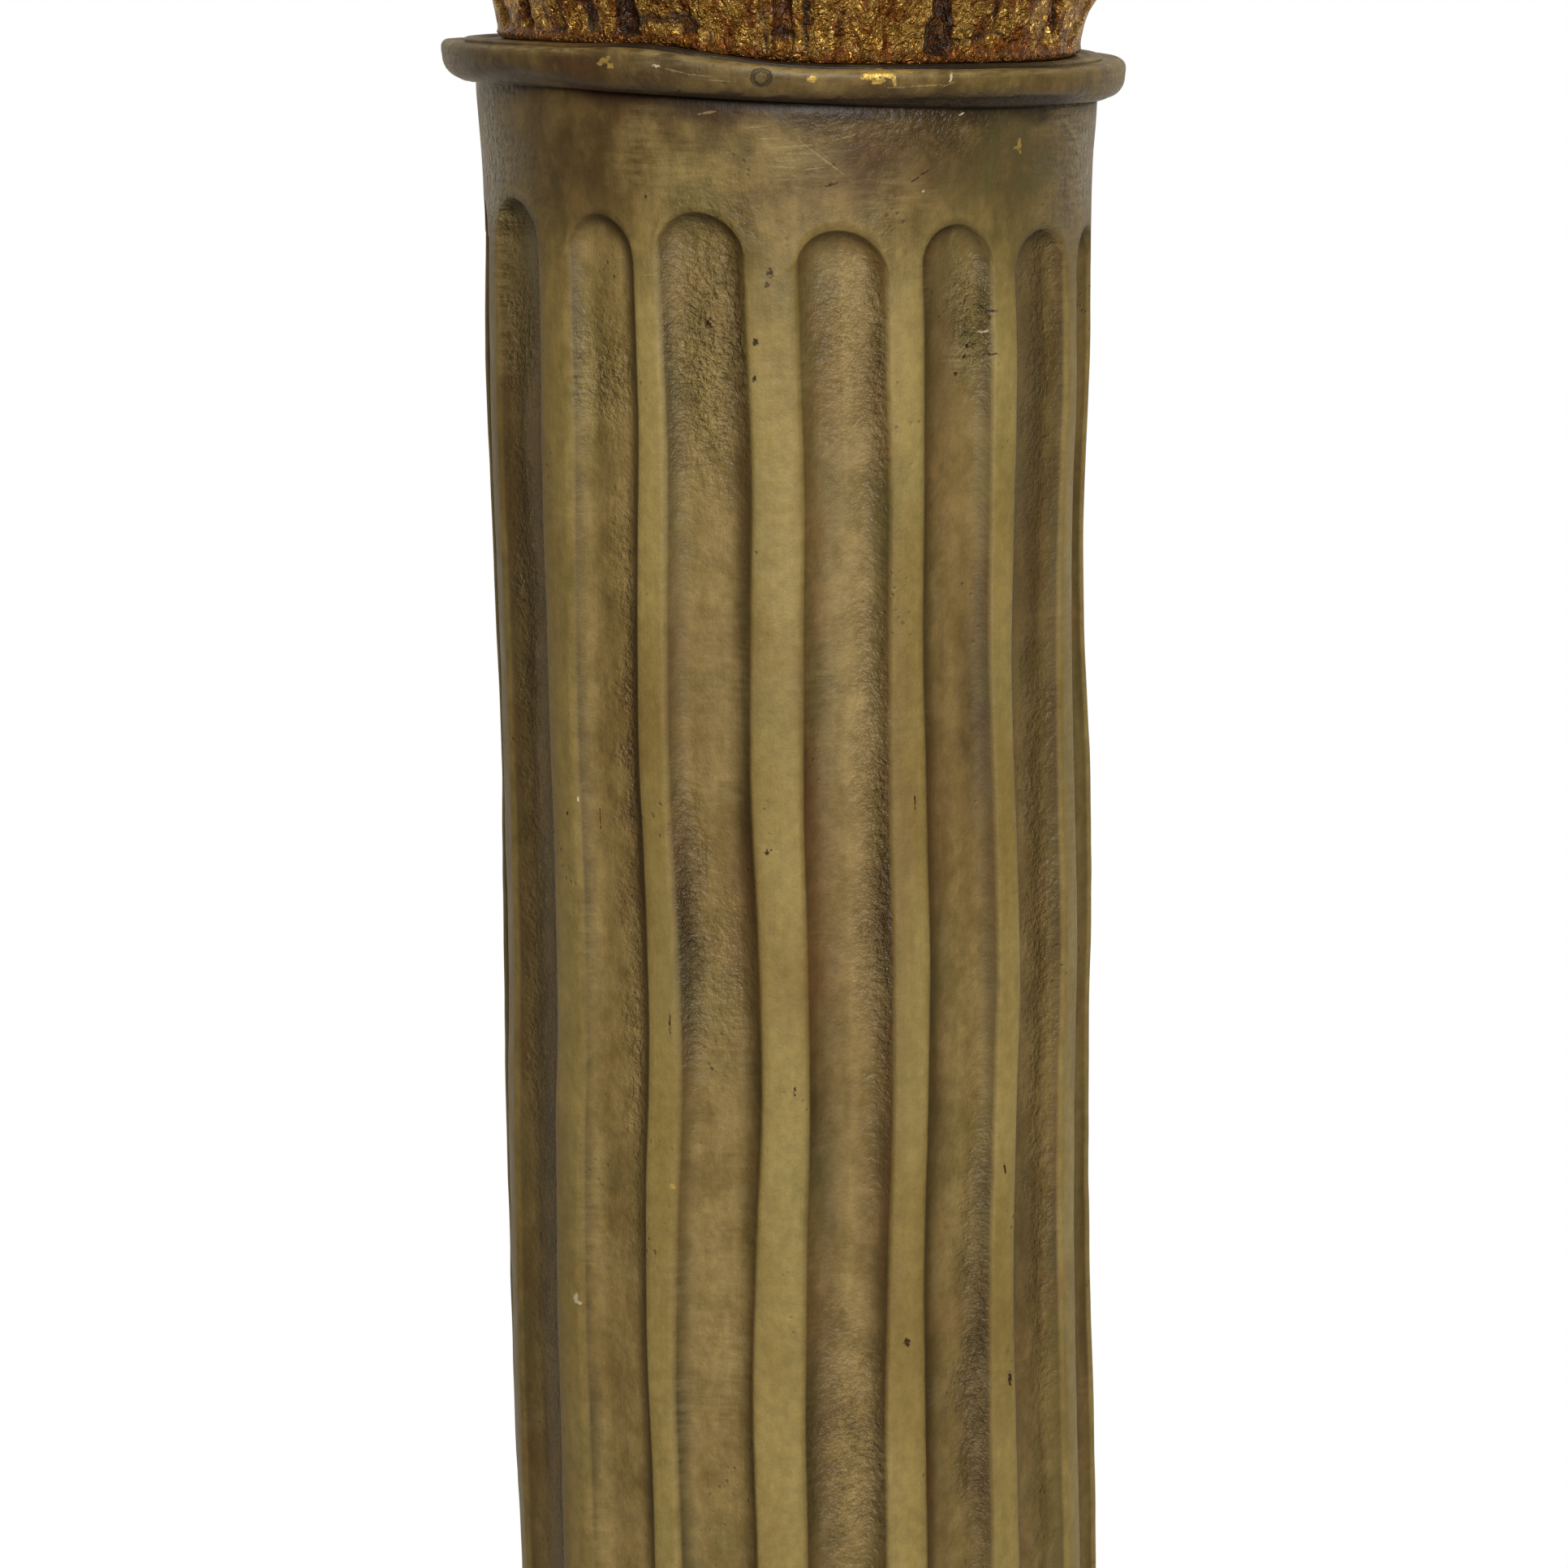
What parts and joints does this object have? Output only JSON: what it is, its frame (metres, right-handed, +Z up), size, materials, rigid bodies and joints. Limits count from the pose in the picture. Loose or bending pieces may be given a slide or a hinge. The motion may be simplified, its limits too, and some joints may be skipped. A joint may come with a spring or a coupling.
{
  "type": "baroque column",
  "caption": "Free-standing decorative baroque column: square base, fluted shaft with a neck ring, and a gilded leaf capital with corner scrolls.",
  "frame": {"origin": "centre of the plinth's underside, on the floor", "axes": "+Z up along the column, -Y towards the front that the picture shows, +X to the right of that front"},
  "size_m": [0.238, 0.238, 1.1],
  "materials": {
    "patina": "painted plaster composite with a satin olive-brown wax patina, darker in the flutes and lighter on the worn fillets",
    "gilding": "crumpled gold leaf over a plaster composite, glossy, with red-brown glaze and black patina in the recesses"
  },
  "bodies": {
    "root": {"base": "patina", "shaft": "patina", "capital": "gilding"}
  },
  "joints": []
}
